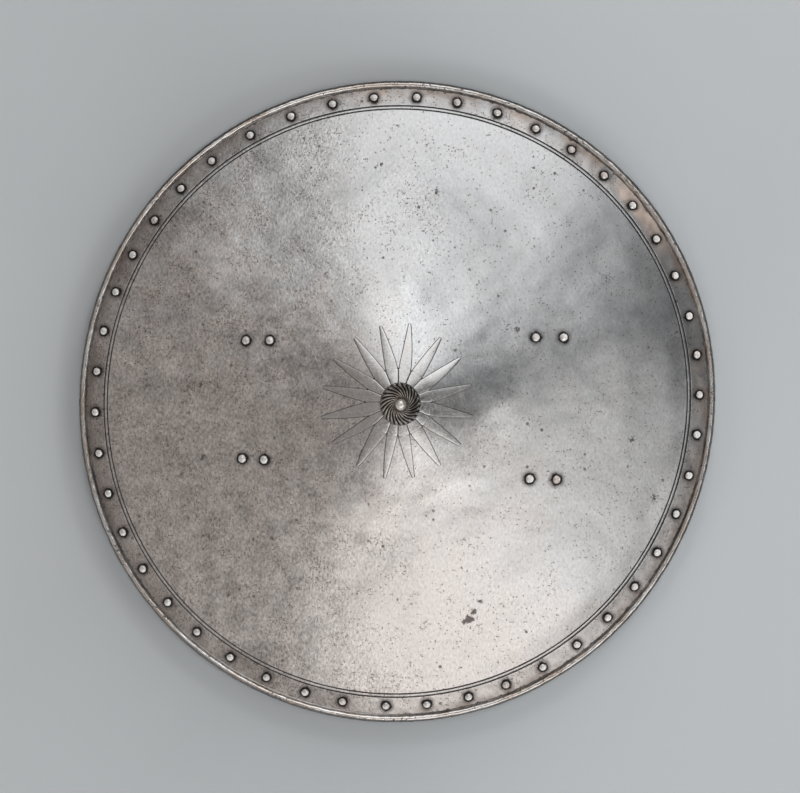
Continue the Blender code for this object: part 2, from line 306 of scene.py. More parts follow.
class Finish(Nodes):
    """A procedural material. Sizes of noise are in metres."""

    def __init__(self, name, dimensions="3D"):
        self.material = bpy.data.materials.new(name)
        self.material.use_nodes = True
        self.dimensions = dimensions
        super().__init__(self.material.node_tree, "Object")
        self.ground = self.node(
            "ShaderNodeVectorMath", (0, self.point), (1, (1, 1, 0)), operation="MULTIPLY"
        ).outputs[0]

    def stretched(self, turn, scale):
        """The point, turned about Z and stretched."""
        sockets = ("Vector", self.point), ("Rotation", (0, 0, turn)), ("Scale", scale)
        return self.node("ShaderNodeMapping", *sockets).outputs[0]

    def noise(self, size, detail=2, roughness=0.5, at=None):
        """0..1 noise whose largest features are about size apart."""
        node = self.node(
            "ShaderNodeTexNoise",
            ("Vector", at or self.point),
            ("Scale", 1 / size),
            ("Detail", detail),
            ("Roughness", roughness),
            noise_dimensions=self.dimensions,
        )
        return node.outputs["Fac"]

    def wander(self, noise, width):
        """0..1 noise turned into a value that wanders about zero, over a width."""
        return self.times(self.math("SUBTRACT", noise, 0.5), width)

    def dots(self, spacing, share, smallest, largest):
        """0..1 mask of round specks in a share of a net's cells; sizes are parts of a cell."""
        cell = self.node(
            "ShaderNodeTexVoronoi",
            ("Vector", self.point),
            ("Scale", 1 / spacing),
            voronoi_dimensions=self.dimensions,
        )
        lot = self.node("ShaderNodeSeparateColor", (0, cell.outputs["Color"]))
        size = self.scaled(lot.outputs[1], largest - smallest, smallest)
        past_edge = self.math("SUBTRACT", cell.outputs["Distance"], size)
        speck = self.ramp(past_edge, 0.0, 0.14, 1.0, 0.0)
        return self.times(speck, self.math("LESS_THAN", lot.outputs[0], share))

    def specks(self, size, threshold, cluster):
        """0..1 mask of ragged specks: a fine noise's peaks, where a wider mask lets them be."""
        peaks = self.math("ADD", self.noise(size, 2, 0.6), cluster)
        return self.ramp(peaks, threshold, threshold + 0.08)

    def away(self, x, y):
        """Distance along the ground from a point of it."""
        node = self.node(
            "ShaderNodeVectorMath", (0, self.ground), (1, (x, y, 0)), operation="DISTANCE"
        )
        return node.outputs["Value"]

    def near(self, x, y, inside, outside):
        """1 within a distance of a point of the ground, and 0 outside a longer one."""
        return self.ramp(self.away(x, y), inside, outside, 1.0, 0.0)

    def near_mm(self, *place):
        """The same as near, with all four values in millimetres."""
        return self.near(*(value * MM for value in place))

    def attribute(self, name):
        return self.node("ShaderNodeAttribute", attribute_name=name).outputs["Fac"]

    def done(self, colour, roughness, metallic, relief=None, relief_depth=0.0):
        """Feeds the surface, and returns the material."""
        surface = self.tree.nodes["Principled BSDF"]
        self.feed(surface.inputs["Base Color"], colour)
        self.feed(surface.inputs["Roughness"], roughness)
        self.feed(surface.inputs["Metallic"], metallic)
        if relief:
            bump = self.node("ShaderNodeBump", ("Height", relief), ("Distance", relief_depth))
            self.feed(surface.inputs["Normal"], bump.outputs[0])
        return self.material


# Colours of the face and the border
STEEL = (0.565, 0.56, 0.555, 1)
COOL_STEEL = (0.53, 0.54, 0.55, 1)
WARM_STEEL = (0.60, 0.545, 0.515, 1)
BARE_STEEL = (0.96, 0.77, 0.65, 1)
BROWN = (0.19, 0.165, 0.15, 1)
TAN = (0.42, 0.31, 0.235, 1)
RUST = (0.10, 0.082, 0.075, 1)
BLACK = (0.028, 0.027, 0.028, 1)

# Colours of the rolled rim, the inner side, the star, the button and the rivets
ROLL_WORN = (0.80, 0.785, 0.77, 1)
ROLL_BROWNED = (0.62, 0.55, 0.495, 1)
ROLL_FILM = (0.13, 0.13, 0.135, 1)
ROLL_DIRT = (0.04, 0.036, 0.036, 1)
INSIDE_BROWN = (0.25, 0.21, 0.18, 1)
INSIDE_DARK = (0.17, 0.13, 0.10, 1)
STAR_WORN = (0.585, 0.58, 0.575, 1)
STAR_DULL = (0.52, 0.505, 0.495, 1)
STAR_DIRT_AND_SHADE = (0.05, 0.042, 0.038, 1)
BUTTON_BROWN = (0.35, 0.305, 0.27, 1)
BUTTON_WORN = (0.70, 0.65, 0.60, 1)
KNOB_BRIGHT = (0.86, 0.81, 0.77, 1)
FLUTE_DIRT = (0.016, 0.014, 0.013, 1)
RIVET_WORN = (0.64, 0.63, 0.615, 1)
RIVET_DULL = (0.42, 0.40, 0.385, 1)
RIVET_BROWN = (0.36, 0.29, 0.25, 1)

# Broad stains of the face and of the border: middle and reach in millimetres, and change of
# brightness. The face's last two darken the dark wedge right of the star as painted reflection of
# the dark room. The border's are partly stains and partly painted reflection: darker where the
# border would see the dark room, lighter where it would see the soft boxes.
FACE_STAINS_AND_SHADE = (
    (-190, 90, 30, -0.20), (-120, 220, 30, -0.22), (-190, 170, 30, -0.18),
    (-220, 10, 20, -0.25), (-80, 40, 30, -0.15), (250, -50, 30, -0.15),
    (-160, 120, 45, 0.12), (-110, -230, 45, -0.12), (90, 20, 32, -0.25),
    (55, -5, 30, -0.22),
)
BORDER_STAINS_AND_PAINTED_LIGHT = (
    (-138, 239, 55, -0.30), (-71, -267, 50, -0.28), (-138, -239, 45, -0.20),
    (267, -71, 55, -0.22), (239, -138, 45, -0.04), (274, 36, 60, -0.22),
    (195, 195, 50, 0.35), (130, 245, 60, 0.14), (20, -274, 60, 0.20), (-276, 0, 50, -0.18),
    (-245, 140, 45, -0.10), (-240, -140, 40, 0.10),
)

# Places where the pitting is dense: middle and reach, in millimetres
PITTED_PLACES = (
    (66, -197, 10), (74, -206, 7), (25, -202, 8), (233, -88, 9), (99, 66, 7),
    (-23, -250, 7), (-150, 60, 12), (190, 110, 9),
)

# Single blots: middle and size, in millimetres
BLOTS = (
    (65.5, -197, 3.2), (69, -190, 2.2), (61, -199, 1.8), (75, -181, 1.2), (-175, -50, 1.3),
    (-176, -52, 1.1), (-177, 15, 1.4), (-153, -175, 1.3), (-112, -123, 1.4), (36, 189, 1.3),
    (-15, 214, 1.3), (212, -35, 1.6), (108, 64, 1.5), (233, -88, 1.6),
)

# Single places: middle, and the distances where each starts to fade and ends, in millimetres. The
# ring is a stain with a paler middle. At the lower left the rolled rim is rubbed bright and given a
# painted highlight, which also thins the border's film and black groove there; there and at the
# upper left its painted bright line leans inwards, and at the top it is darkened as painted shade.
RING_STAIN = (-83, -214, 5.5, 7.5)
RING_STAIN_MIDDLE = (-83, -214, 3, 5)
OVAL_STAIN = (-33, -124, 4, 9)
# Painted shadow on the plate beside the lower left ray's foot, as if that ray were lifted off it
LIFTED_RAY_SHADOWS = ((-31.5, -45, 0.5, 3), (-33, -49, 0.5, 3))
BARE_PLACE = (222, 171, 12, 50)
RUBBED_AND_LIT_PLACE = (-120, -260, 50, 190)
INWARD_HIGHLIGHT_PLACE = (-140, 245, 20, 110)
SHADED_TOP_PLACE = (100, 270, 60, 200)

# Radii over which a finish starts: the film on the border, where it grows thicker, the black
# groove at the rolled rim, the roll's own dirty foot, and the place rubbed bare
FILM_START = (267.0 * MM, 270.0 * MM)
FILM_THICKENS = (274.5 * MM, 282.5 * MM)
GROOVE = (282.8 * MM, 284.0 * MM)
ROLL_FOOT = (284.6 * MM, 283.9 * MM)
BARE_BORDER = (269.0 * MM, 275.0 * MM)

# Distances over which dirt and painted shade end: round a rivet's axis, the brown halo of dirt and
# the black ring, partly dirt and partly painted shade where the head meets the plate; at an incised
# line; from the star's middle, the painted shade under its rays; and at the star's edges, dirt in
# the seam and painted contact shade. Along the slits, which end at a distance from the star's
# middle, the dark edge is thinner.
RIVET_HALO = (4.4 * MM, 9.0 * MM)
RIVET_DIRT_AND_SHADE_RING = (4.3 * MM, 5.7 * MM)
LINE_DIRT = (0.2 * MM, 0.9 * MM)
STAR_MIDDLE_SHADE = (30.2 * MM, 31.2 * MM)
STAR_EDGE_DIRT_AND_SHADE = (0.3 * MM, 1.0 * MM)
STAR_SLITS_END = (29 * MM, 33 * MM)
THINNER_AT_SLITS = 0.4 * MM

# Heights above the floor over which the painted shade at the button's foot ends
BUTTON_FOOT_SHADE = (73.5 * MM, 79.0 * MM)

# Distances from the middle over which the polished middle of the face ends
POLISHED = (60 * MM, 140 * MM)


def face_dirt_and_shadow(f, dull, on_border):
    """0..1 mask of the face's specks, blots and old stains, and of a painted shadow beside a star
    ray.
    """
    # fine black specks, which gather in clouds and in a few dense places
    dense = 0
    for x, y, reach in PITTED_PLACES:
        dense = f.larger(f.near_mm(x, y, 0.1 * reach, reach), dense)
    cloud = f.ramp(f.noise(0.03, 5, 0.7), 0.42, 0.66)
    spread = f.scaled(dull, 0.30, 0.10)
    share = f.scaled(dense, 0.5, f.scaled(cloud, spread, 0.025))
    share = f.scaled(on_border, f.scaled(cloud, 0.25, 0.03), share)
    fine = f.dots(0.0015, share, 0.10, 0.45)
    coarse = f.dots(0.0065, f.times(share, 0.22), 0.05, 0.16)
    dirt = f.larger(f.times(fine, 0.6), f.times(coarse, 0.65))

    # single ragged blots
    away = 1.0
    for x, y, size in BLOTS:
        away = f.math("MINIMUM", f.math("SUBTRACT", f.away(x * MM, y * MM), size * MM), away)
    away = f.math("ADD", away, f.wander(f.noise(0.0028, 3, 0.75), 0.010))
    dirt = f.larger(dirt, f.ramp(away, 0.0, 0.0008, 0.75, 0.0))

    # two old stains, a ring and an oval, and a painted shadow beside the foot of a star ray, as if
    # the ray were lifted
    ring = f.times(f.near_mm(*RING_STAIN), 0.30)
    stain = f.math("SUBTRACT", ring, f.times(f.near_mm(*RING_STAIN_MIDDLE), 0.26))
    stain = f.larger(stain, f.times(f.near_mm(*OVAL_STAIN), 0.22))
    for place in LIFTED_RAY_SHADOWS:
        stain = f.larger(stain, f.times(f.near_mm(*place), 0.85))
    return f.larger(dirt, stain)


def border_steel(f, colour, mottle, rightward, rough_radius):
    """The colour with the border's brown film, its tan streaks and the place rubbed bare."""
    # the outer film thins at the lower left, partly rubbed wear and partly painted light
    worn = f.scaled(f.near_mm(*RUBBED_AND_LIT_PLACE), -0.9, 1.0)
    film = f.ramp(rough_radius, *FILM_START, 0.0, 0.28)
    outward = f.times(f.ramp(rough_radius, *FILM_THICKENS, 0.0, 0.34), worn)
    streaks = f.scaled(mottle, 0.9, f.times(f.noise(0.05, 2), 0.9))
    film = f.times(f.math("ADD", film, outward), f.ramp(streaks, 0.72, 1.1, 0.7, 1.4))
    tan = f.times(f.ramp(streaks, 0.85, 1.0), f.ramp(rightward, 0.13, 0.25, 0.1, 0.7))
    colour = f.mix(film, colour, f.mix(tan, BROWN, TAN))
    bare = f.times(f.near_mm(*BARE_PLACE), f.ramp(rough_radius, *BARE_BORDER))
    bare = f.times(bare, f.ramp(mottle, 0.35, 0.55, 0.6, 0.9))
    return f.mix(bare, colour, BARE_STEEL)


def face_black(f, radius, rough_radius, uneven):
    """Masks of the halo round each rivet, of the black rings, lines and groove, and of the painted
    shade under the star's middle. The black rings are partly painted shade where the heads meet.
    """
    rivet = f.attribute("rivet_distance")
    for name, axis in RIVET_AXES.items():
        if name.startswith("strap"):
            past_head = f.math("SUBTRACT", f.away(*axis), STRAP_HEAD[0] - RIM_HEAD[0])
            rivet = f.math("MINIMUM", rivet, past_head)
    rivet = f.scaled(uneven, 0.6, rivet)
    halo = f.ramp(rivet, *RIVET_HALO, 0.62, 0.0)
    # the black groove is fainter at the lower left, partly rubbed wear and partly painted light
    worn = f.scaled(f.near_mm(*RUBBED_AND_LIT_PLACE), -0.6, 1.0)
    groove = f.times(f.ramp(rough_radius, *GROOVE, 0.0, 0.75), worn)
    # the black ring round each head is partly dirt and partly painted shade where the head meets
    # the plate
    black = f.larger(f.ramp(rivet, *RIVET_DIRT_AND_SHADE_RING, 0.9, 0.0), groove)
    for line in LINE_RADII:
        from_line = f.math("ABSOLUTE", f.math("SUBTRACT", radius, line))
        black = f.larger(f.ramp(from_line, *LINE_DIRT, 0.95, 0.0), black)
    # painted shade on the plate under the star's middle, which shows dark through the slits
    shade_under_star = f.near(*STAR_CENTRE, *STAR_MIDDLE_SHADE)
    return halo, f.larger(f.times(shade_under_star, 0.95), black)


def face_steel():
    """The outer face and the border: worn, mottled and pitted steel."""
    f = Finish("shield_face_steel", "2D")
    # dull to the left, warm to the lower left, and cool to the upper right
    x, y = f.coordinate(0), f.coordinate(1)
    drift = f.wander(f.noise(0.11, 3, 0.55), 0.25)
    rightward = f.scaled(x, 0.8, f.scaled(y, 0.6, drift))
    down = f.scaled(x, -0.6, f.scaled(y, -0.8, drift))
    dull = f.ramp(f.math("ADD", x, drift), 0.03, -0.09)
    warm = f.ramp(down, 0.0, 0.13)
    cool = f.ramp(down, 0.05, -0.08)

    patches = f.ramp(f.noise(0.03, 4, 0.7), 0.38, 0.62)
    colour = f.mix(f.times(patches, f.scaled(dull, 0.2, 0.25)), STEEL, WARM_STEEL)
    colour = f.mix(f.times(warm, 0.40), colour, WARM_STEEL)
    colour = f.mix(f.times(cool, 0.55), colour, COOL_STEEL)

    # mottling and a fine grain, both strong where the steel is dull, and the broad stains, partly
    # painted reflection
    mottle = f.noise(0.022, 5, 0.85)
    strokes = f.noise(0.0021, 2, 0.7, at=f.stretched(math.radians(-40), (1, 0.6, 1)))
    strength = f.scaled(dull, 1.0, f.ramp(y, 0.02, 0.15, 0.85, 0.60))
    shade = f.math("SUBTRACT", f.scaled(mottle, 0.82, f.times(strokes, 0.68)), 0.75)
    shade = f.times(shade, strength)
    radius = f.attribute("face_radius")
    on_border = f.ramp(radius, BORDER_INNER_RADIUS - 3 * MM, BORDER_INNER_RADIUS)
    # stains, with painted shade for the dark reflected wedge
    for stain_x, stain_y, reach, change in FACE_STAINS_AND_SHADE:
        shade = f.scaled(f.near_mm(stain_x, stain_y, 0, reach), change, shade)
    # stains and painted reflection of the border, darker or lighter by the side it faces
    for stain_x, stain_y, reach, change in BORDER_STAINS_AND_PAINTED_LIGHT:
        shade = f.scaled(f.times(f.near_mm(stain_x, stain_y, 0, reach), on_border), change, shade)
    colour = f.shaded(colour, f.math("ADD", shade, 1.0))

    dirt = face_dirt_and_shadow(f, dull, on_border)
    colour = f.mix(dirt, colour, RUST)
    uneven = f.wander(f.noise(0.006, 3, 0.7), 0.006)
    rough_radius = f.math("ADD", radius, uneven)
    colour = border_steel(f, colour, mottle, rightward, rough_radius)
    halo, black = face_black(f, radius, rough_radius, uneven)
    colour = f.mix(halo, colour, RUST)
    colour = f.mix(black, colour, BLACK)

    soiled = f.larger(dirt, f.larger(black, f.times(halo, 0.6)))
    rough = f.times(f.ramp(mottle, 0.3, 0.7, 0.30, 0.37), f.ramp(radius, *POLISHED, 0.68, 1.0))
    rough = f.scaled(soiled, 0.25, rough)
    relief = f.times(strokes, f.scaled(dull, 0.5, 0.3))
    relief = f.times(relief, f.ramp(radius, *POLISHED, 0.35, 1.0))
    return f.done(colour, rough, 1.0, relief, 0.15 * MM)


def rim_steel():
    """The rolled rim: black and corroded on its flanks, rubbed bright along its crest."""
    f = Finish("shield_rim_steel")
    # grain drawn out along the rim
    bearing = f.math("ARCTAN2", f.coordinate(1), f.coordinate(0))
    plain_radius = f.attribute("face_radius")
    streak = f.node("ShaderNodeCombineXYZ", (0, plain_radius), (1, f.times(bearing, 0.05)))
    grain = f.noise(0.0016, 3, 0.6, at=streak.outputs[0])
    radius = f.math("ADD", plain_radius, f.wander(grain, 1.8 * MM))

    # the dark flanks on both sides of the crest
    # painted light: a painted highlight over rubbed wear at the lower left, painted shade at the
    # top
    rubbed = f.near_mm(*RUBBED_AND_LIT_PLACE)
    dim = f.near_mm(*SHADED_TOP_PLACE)
    # the crest's painted bright line moves inwards at the lower and upper left
    leaning = f.larger(rubbed, f.near_mm(*INWARD_HIGHLIGHT_PLACE))
    from_crest = f.math("SUBTRACT", f.scaled(leaning, 1.2 * MM, radius), ROLL_MIDDLE)
    outer = f.ramp(from_crest, 1.3 * MM, 2.5 * MM)
    inner = f.ramp(from_crest, -1.4 * MM, -2.8 * MM)
    soiled = f.ramp(f.noise(0.07, 3, 0.6), 0.42, 0.60, 0.15, 0.95)
    soiled = f.times(soiled, f.scaled(rubbed, -0.7, 1.0))
    soiled = f.larger(soiled, f.times(dim, 0.75))
    flank = f.larger(outer, f.times(inner, soiled))

    patches = f.ramp(f.noise(0.03, 4, 0.65), 0.35, 0.65)
    colour = f.mix(patches, ROLL_WORN, ROLL_BROWNED)
    # lighter at the lower left as painted highlight over wear, darker at the top as painted shade
    colour = f.shaded(colour, f.scaled(dim, -0.15, f.scaled(rubbed, 0.14, 0.97)))
    colour = f.shaded(colour, f.ramp(grain, 0.25, 0.75, 0.84, 1.12))
    film = f.mix(f.ramp(f.noise(0.04, 3, 0.6), 0.45, 0.65), ROLL_FILM, BROWN)
    colour = f.mix(f.times(flank, 0.85), colour, film)
    loose = f.ramp(f.noise(0.025, 3, 0.6), 0.40, 0.60, -0.10, 0.06)
    foot = f.times(f.ramp(radius, *ROLL_FOOT), f.scaled(rubbed, -0.5, 0.8))
    dirt = f.larger(f.times(f.specks(0.003, 0.62, loose), 0.75), foot)
    colour = f.mix(dirt, colour, ROLL_DIRT)
    rough = f.math("ADD", f.ramp(grain, 0.3, 0.7, 0.20, 0.36), f.times(dirt, 0.2))
    return f.done(colour, rough, 1.0, grain, 0.06 * MM)


def inside_steel():
    """The inner side, left from the hammer: dark, brown and dull."""
    f = Finish("shield_inside_steel")
    patches = f.ramp(f.noise(0.06, 5, 0.6), 0.35, 0.65)
    colour = f.mix(patches, INSIDE_BROWN, INSIDE_DARK)
    grain = f.noise(0.003, 4, 0.6)
    colour = f.shaded(colour, f.ramp(grain, 0.25, 0.75, 0.75, 1.15))
    loose = f.ramp(f.noise(0.03, 3, 0.6), 0.4, 0.6, -0.05, 0.05)
    colour = f.mix(f.times(f.specks(0.004, 0.60, loose), 0.7), colour, RUST)
    return f.done(colour, f.ramp(grain, 0.3, 0.7, 0.5, 0.62), 0.9, grain, 0.3 * MM)


def star_steel():
    """The star: steel as worn as the plate, dark along its edges and slits."""
    f = Finish("star_steel")
    patches = f.ramp(f.noise(0.018, 4, 0.65), 0.35, 0.65)
    colour = f.mix(patches, STAR_WORN, STAR_DULL)
    grain = f.noise(0.0022, 3, 0.8)
    colour = f.shaded(colour, f.ramp(grain, 0.25, 0.75, 0.82, 1.12))
    # the dark along the edges is dirt in the seam and painted contact shade against the plate; it
    # is thinner along the slits
    slits = f.times(f.near(*STAR_CENTRE, *STAR_SLITS_END), THINNER_AT_SLITS)
    from_edge = f.math("ADD", f.attribute("edge_distance"), slits)
    edge = f.ramp(from_edge, *STAR_EDGE_DIRT_AND_SHADE, 1.0, 0.0)
    loose = f.ramp(f.noise(0.012, 2, 0.6), 0.45, 0.7, -0.10, 0.02)
    dirt = f.larger(f.times(edge, 0.8), f.times(f.specks(0.0024, 0.63, loose), 0.6))
    colour = f.mix(dirt, colour, STAR_DIRT_AND_SHADE)
    rough = f.math("ADD", f.ramp(grain, 0.3, 0.7, 0.20, 0.26), f.times(dirt, 0.2))
    return f.done(colour, rough, 1.0, grain, 0.04 * MM)


def button_steel():
    """The button: black in its flutes, brown-grey on the ridges and rubbed bright on the knob."""
    f = Finish("button_steel")
    grain = f.noise(0.0025, 4, 0.65)
    worn = f.ramp(f.noise(0.012, 3, 0.6), 0.35, 0.65)
    colour = f.mix(worn, BUTTON_BROWN, BUTTON_WORN)
    colour = f.shaded(colour, f.ramp(grain, 0.3, 0.7, 0.85, 1.08))
    knob = f.attribute("knob")
    colour = f.mix(knob, colour, KNOB_BRIGHT)
    # painted shade round the button's foot, where it meets the star
    foot = f.ramp(f.coordinate(2), *BUTTON_FOOT_SHADE, 0.85, 0.0)
    dark = f.larger(f.ramp(f.attribute("hollow"), 0.28, 0.54), foot)
    colour = f.mix(dark, colour, FLUTE_DIRT)
    rough = f.math("ADD", f.ramp(grain, 0.3, 0.7, 0.18, 0.26), f.times(f.larger(dark, knob), 0.16))
    return f.done(colour, rough, 1.0, grain, 0.06 * MM)


def rivet_steel():
    """The rivets: worn bright on the crown, with black down the side, partly dirt and partly
    painted shade of the dome's flank.
    """
    f = Finish("rivet_steel")
    grain = f.noise(0.0022, 4, 0.7)
    colour = f.mix(f.ramp(grain, 0.35, 0.65), RIVET_WORN, RIVET_DULL)
    browned = f.ramp(f.noise(0.05, 2, 0.5), 0.52, 0.66, 0.0, 0.65)
    colour = f.mix(browned, colour, RIVET_BROWN)
    ragged = f.ramp(grain, 0.3, 0.7, -0.04, 0.04)
    # black down the head's side: dirt and painted shade of the dome's flank
    foot = f.ramp(f.math("ADD", f.attribute("foot"), ragged), 0.80, 0.99)
    colour = f.mix(foot, colour, BLACK)
    rough = f.math("ADD", f.ramp(grain, 0.3, 0.7, 0.24, 0.36), f.times(foot, 0.2))
    return f.done(colour, rough, f.ramp(foot, 0.0, 0.5, 0.65, 1.0), grain, 0.25 * MM)


# ------------------------------------------------------------------ the plate


class Rings:
    """A surface of revolution as rings of points that may double or halve in number on the way."""

    def __init__(self):
        self.points = []
        self.faces = []
        self.zones = []
        self.radii = []
        self.last = None

    def add(self, count, place, zone=0, nominal_radius=0.0):
        """Adds a ring: place(angles) gives its (count, 3) points. It joins the one before."""
        angles = np.arange(count) * math.tau / count
        start = len(self.points)
        self.points.extend(place(angles))
        self.radii.extend([nominal_radius] * count)
        if self.last:
            self.join(*self.last, start, count, zone)
        self.last = (start, count)

    def join(self, inner, inner_count, outer, outer_count, zone):
        """Faces between two rings, wound so that they face up where the rings widen."""
        rings = [(inner, inner_count), (outer, outer_count)]
        widens = inner_count < outer_count
        (few, few_count), (many, many_count) = rings if widens else rings[::-1]
        faces = []
        for j in range(few_count):
            k = (j + 1) % few_count
            if few_count == many_count:
                faces.append((few + j, many + j, many + k, few + k))
            elif few_count > 1:
                a, b, c = (many + (2 * j + onward) % many_count for onward in range(3))
                faces += [(few + j, a, b), (few + j, b, few + k), (few + k, b, c)]
            else:
                faces = [(few, many + i, many + (i + 1) % many_count) for i in range(many_count)]
        self.faces += faces if widens else [face[::-1] for face in faces]
        self.zones += [zone] * len(faces)


# Radii between which the face's shallow waves rise and fade again, those of the border rise, and
# the blows of the inner side fade
HAMMERED = ((60 * MM, 100 * MM), (262 * MM, 250 * MM))
BORDER_WAVES = (262 * MM, 272 * MM)
INSIDE_BLOWS_FADE = (270 * MM, 260 * MM)


def line_cut(radius):
    """Depth of the two incised lines at a radius."""
    depth = np.zeros_like(np.asarray(radius, float))
    for line in LINE_RADII:
        depth += LINE_DEPTH * np.clip(1 - np.abs(radius - line) / LINE_HALF_WIDTH, 0, 1)
    return depth


def outer_place(radius):
    """Places a ring of the outer face, with the hammer's shallow waves."""

    def place(angles):
        flat = outline_at(radius, angles)
        fade = smooth_step(radius, *HAMMERED[0]) * smooth_step(radius, *HAMMERED[1])
        waves = 0.10 * ripples(flat, 0.055, 11) + 0.035 * ripples(flat, 0.02, 12)
        border = smooth_step(radius, *BORDER_WAVES)
        waves = waves * fade + border * 0.05 * ripples(flat, 0.012, 13)
        cut = line_cut(radius) * (0.9 + 0.2 * ripples(flat, 0.05, 14).clip(-1, 1))
        height = face_height(radius) + dents(*flat.T) + MM * waves - cut
        return np.column_stack([flat, height])

    return place


def roll_place(angle, uneven=1.0):
    """Places a ring of the rolled rim at an angle round its section, 0 pointing outwards."""

    def place(angles):
        out = ROLL_MIDDLE + ROLL_RADIUS * math.cos(angle)
        up = ROLL_HEIGHT + ROLL_RADIUS * math.sin(angle)
        flat = outline_at(out, angles)
        smooth = np.column_stack([flat, np.full(len(angles), up)])
        worn = 0.5 * ripples(smooth, 0.011, 21) + 0.4 * ripples(smooth, 0.005, 22)
        worn = uneven * ROLL_WEAR * (worn - 0.8).clip(-2, 0)
        outward = np.stack([np.cos(angles), np.sin(angles)], 1)
        flat = flat + (worn * math.cos(angle))[:, None] * outward
        return np.column_stack([flat, np.maximum(up + worn * math.sin(angle), 0)])

    return place


def inner_place(radius):
    """Places a ring of the inner face, coarser from the hammer."""

    def place(angles):
        flat = outline_at(radius, angles)
        fade = smooth_step(radius, *INSIDE_BLOWS_FADE)
        blows = fade * (0.1 * ripples(flat, 0.03, 31) - 0.1).clip(-0.3, 0.1)
        height = face_height(radius) + dents(*flat.T) - PLATE_THICKNESS + MM * blows
        return np.column_stack([flat, height])

    return place


# Material slots of the plate
FACE, ROLL, INSIDE = 0, 1, 2

# Rings of the plate's mesh, from the middle out: points in a ring, and the first and last radius
# and the step between them in millimetres. Finer rings of the border follow, with a group of them
# across each incised line.
FACE_RINGS = ((64, 4, 12, 4), (128, 16, 30, 5), (256, 35, 60, 5), (512, 64, 262, 3.96))
LINE_RINGS = (-0.7, -0.45, -0.2, 0, 0.2, 0.45, 0.7)
BORDER_RINGS = (
    262.9, 263.8, 266.2, 269, 269.9, 270.9, 272, 273, 274, 275, 276, 277, 278.1, 279.3, 280.5,
    281.6, 282.4, 283, 283.4,
)
BORDER_POINTS = 1024

# Rings round the roll's section, in degrees from pointing outwards: from the groove over the
# crest and down, and then where the roll rests on the floor and turns in. The ring on the floor
# is doubled, which keeps the shading of its two sides apart.
ROLL_RINGS = (
    152, 145, 138, 130, 122, 114, 106, 99, 92, 85, 78, 71, 63, 55, 46, 36, 25, 12, -2, -18, -36,
)
ROLL_REST_RINGS = (-90, -90, -150)

# Rings of the inner side, from the border back to the middle: points and radius in millimetres
INSIDE_RINGS = (
    tuple((256, radius) for radius in (283, 278, 273.5, 269, 265, *range(258, 60, -9)))
    + ((128, 56), (128, 44), (64, 32), (64, 20), (32, 9))
)


def shield_plate():
    """The plate in one skin: outer face, border with its lines, rolled rim and inner side."""
    rings = Rings()
    rings.add(1, outer_place(0.0), FACE, 0.0)
    for count, first, last, step in FACE_RINGS:
        for radius in np.arange(first, last + 0.01, step) * MM:
            rings.add(count, outer_place(radius), FACE, radius)
    lines = [line / MM + offset for line in LINE_RADII for offset in LINE_RINGS]
    for radius in np.array(sorted([*BORDER_RINGS, *lines])) * MM:
        rings.add(BORDER_POINTS, outer_place(radius), FACE, radius)
    for angle in np.radians(ROLL_RINGS):
        radius = ROLL_MIDDLE + ROLL_RADIUS * math.cos(angle)
        rings.add(BORDER_POINTS, roll_place(angle), ROLL, radius)
    for angle in np.radians(ROLL_REST_RINGS):
        radius = ROLL_MIDDLE + ROLL_RADIUS * math.cos(angle)
        rings.add(BORDER_POINTS // 2, roll_place(angle, uneven=0.3), ROLL, radius)
    for count, radius in INSIDE_RINGS:
        rings.add(count, inner_place(radius * MM), INSIDE, radius * MM)
    rings.add(1, inner_place(0.0), INSIDE, 0.0)

    materials = [face_steel(), rim_steel(), inside_steel()]
    plate = new_object("shield_plate_body", rings.points, rings.faces, materials, rings.zones)
    set_attribute(plate, "face_radius", rings.radii)
    points = np.array(rings.points)[:, :2]
    nearest = np.full(len(points), 1.0)
    for x, y in RIVET_AXES.values():
        nearest = np.minimum(nearest, np.hypot(points[:, 0] - x, points[:, 1] - y))
    set_attribute(plate, "rivet_distance", nearest)
    stand_for(plate, "shield_plate")


# ------------------------------------------------------------------ star, button and rivets


def ray_half_width(distance, reach, half_turn):
    """Half the width of a ray of the star, at a distance along its middle."""
    start = STAR_NOTCH * math.cos(half_turn)
    notch_half_width = STAR_NOTCH * math.sin(half_turn)
    hole = math.sqrt(max(0, STAR_NOTCH_HOLE**2 - (distance - start) ** 2))
    if distance < start:
        return distance * math.tan(half_turn) - max(STAR_SLIT, hole)
    along = (distance - start) / (reach - start)
    taper = notch_half_width + along * (STAR_TIP_HALF_WIDTH - notch_half_width)
    opened = max(hole, STAR_SLIT * (1 - (distance - start) / STAR_SLIT_FADE), 0)
    return taper + STAR_BULGE * math.sin(math.pi * along) - opened


def ray_stations(reach, half_turn):
    """(distance, half width) along a ray, close together at the hole and rounded at the tip."""
    start = STAR_NOTCH * math.cos(half_turn)
    distances = list(np.arange(STAR_JOINED_TO / MM, 28.1, 2) * MM)
    distances += [start + STAR_NOTCH_HOLE * share for share in (-1, -0.8, -0.5, 0, 0.5, 0.8, 1)]
    blunt_from = reach - STAR_TIP_ROUNDING
    distances += list(np.linspace(start + 2.2 * MM, blunt_from, 20))
    stations = [(distance, ray_half_width(distance, reach, half_turn)) for distance in distances]
    blunt = stations[-1][1]
    for turn in np.radians((18, 36, 52, 66, 78, 86)):
        onward = STAR_TIP_ROUNDING * math.sin(turn)
        stations.append((blunt_from + onward, blunt * math.cos(turn) ** 0.8))
    return stations


# Columns of points from the middle of a ray out: share of its half width, then way to its edge
INNER_COLUMNS = (0, 0.25, 0.5, 0.72)
EDGE_COLUMNS = (1.1 * MM, 0.6 * MM, 0.3 * MM, 0.12 * MM, 0)


